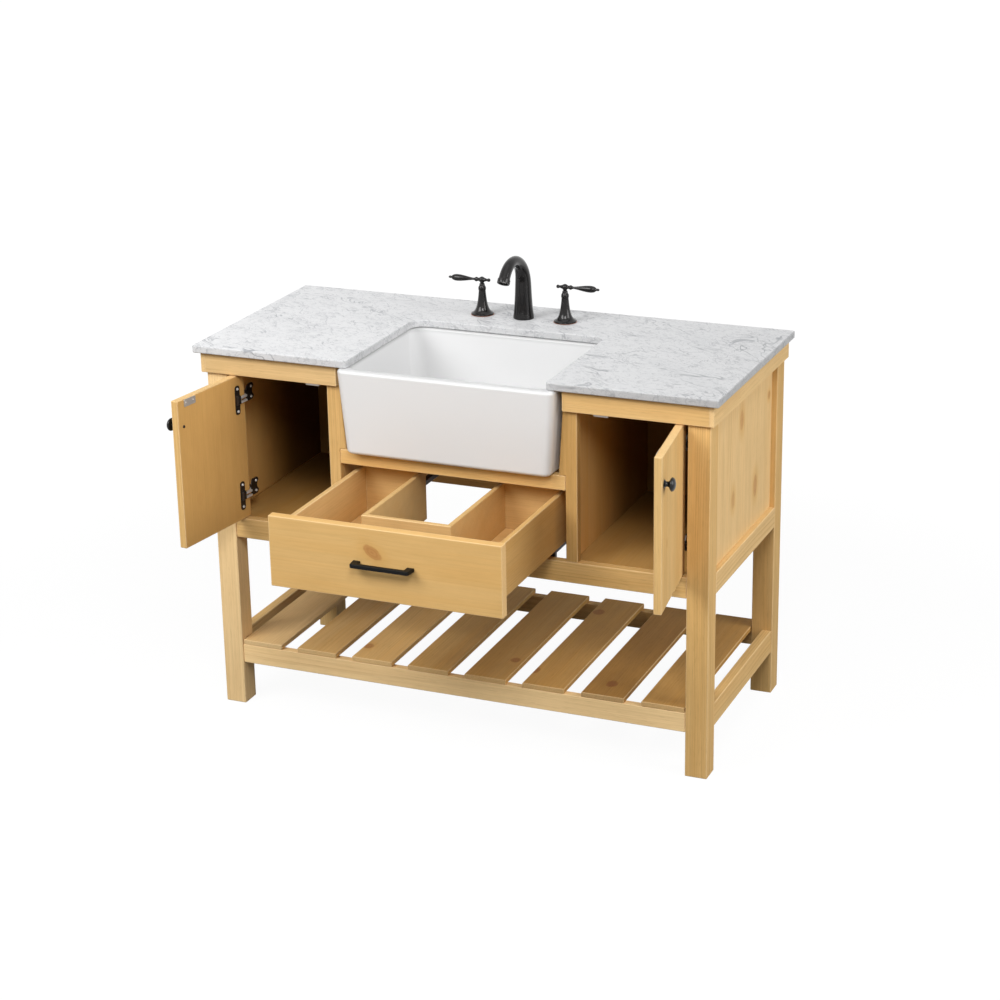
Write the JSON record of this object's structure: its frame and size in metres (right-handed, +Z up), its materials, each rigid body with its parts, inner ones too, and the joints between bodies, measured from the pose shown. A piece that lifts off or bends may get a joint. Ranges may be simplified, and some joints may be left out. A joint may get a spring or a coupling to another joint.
{
  "type": "vanity unit",
  "caption": "Free-standing wooden vanity with stone top, apron-front basin and taps, inset doors, a drawer notched round the waste pipe, and a slatted lower shelf.",
  "frame": {"origin": "on the floor, below the middle of the box round the part as pictured, with its doors and drawer open", "axes": "+X along the width to the right, +Y from the doors to the wall, +Z up"},
  "size_m": [1.219, 0.9, 1.0223],
  "materials": {
    "pine": "honey-toned knotty pine under clear satin lacquer",
    "stone": "polished pale stone with fine grey veins",
    "ceramic": "glossy white glaze",
    "bronze": "dark oil-rubbed bronze, satin gloss",
    "black_metal": "near-black satin metal",
    "steel": "zinc-plated steel"
  },
  "bodies": {
    "carcass": {"countertop": "stone", "sink_basin": "ceramic", "spout": "bronze", "valve_base_left": "bronze", "valve_base_right": "bronze", "leg_front_left": "pine", "leg_front_right": "pine", "leg_back_left": "pine", "leg_back_right": "pine", "trim_front_left": "pine", "trim_front_right": "pine", "trim_side_left": "pine", "trim_side_right": "pine", "stile_left": "pine", "stile_right": "pine", "sink_rail": "pine", "bottom_front_rail": "pine", "bottom_back_rail": "pine", "top_back_rail": "pine", "side_panel_left": "pine", "side_panel_right": "pine", "side_rail_left": "pine", "side_rail_right": "pine", "partition_left": "pine", "partition_right": "pine", "floor_left": "pine", "floor_right": "pine", "back_panel": "pine", "shelf_rail_front": "pine", "shelf_rail_back": "pine", "shelf_rail_left": "pine", "shelf_rail_right": "pine", "slat_1": "pine", "slat_2": "pine", "slat_3": "pine", "slat_4": "pine", "slat_5": "pine", "slat_6": "pine", "slat_7": "pine", "slat_8": "pine", "slide_rail_left": "steel", "slide_rail_right": "steel", "hinge_upper_left": "black_metal", "hinge_lower_left": "black_metal", "hinge_upper_right": "black_metal", "hinge_lower_right": "black_metal"},
    "left_door": {"door_left": "pine", "knob_left": "black_metal"},
    "right_door": {"door_right": "pine", "knob_right": "black_metal"},
    "drawer": {"drawer_front": "pine", "drawer_side_left": "pine", "drawer_side_right": "pine", "drawer_back": "pine", "drawer_bottom": "pine", "drawer_handle": "black_metal", "slide_runner_left": "steel", "slide_runner_right": "steel"},
    "left_lever": {"lever_left": "bronze"},
    "right_lever": {"lever_right": "bronze"}
  },
  "joints": [
    {"name": "left_door_hinge", "type": "hinge", "parent": "carcass", "child": "left_door", "pos_m": [-0.52, -0.0715, 0.63], "axis": [0, 0, -1], "range_deg": [-97.5, 7.5]},
    {"name": "right_door_hinge", "type": "hinge", "parent": "carcass", "child": "right_door", "pos_m": [0.52, -0.0715, 0.63], "axis": [0, 0, 1], "range_deg": [-97.5, 7.5]},
    {"name": "drawer_slide", "type": "slide", "parent": "carcass", "child": "drawer", "axis": [0, -1, 0], "range_m": [-0.346, 0]},
    {"name": "left_lever_turn", "type": "hinge", "parent": "carcass", "child": "left_lever", "pos_m": [-0.1016, 0.347, 0.946], "axis": [0, 0, 1], "range_deg": [0, 90]},
    {"name": "right_lever_turn", "type": "hinge", "parent": "carcass", "child": "right_lever", "pos_m": [0.1016, 0.347, 0.946], "axis": [0, 0, -1], "range_deg": [0, 90]}
  ]
}
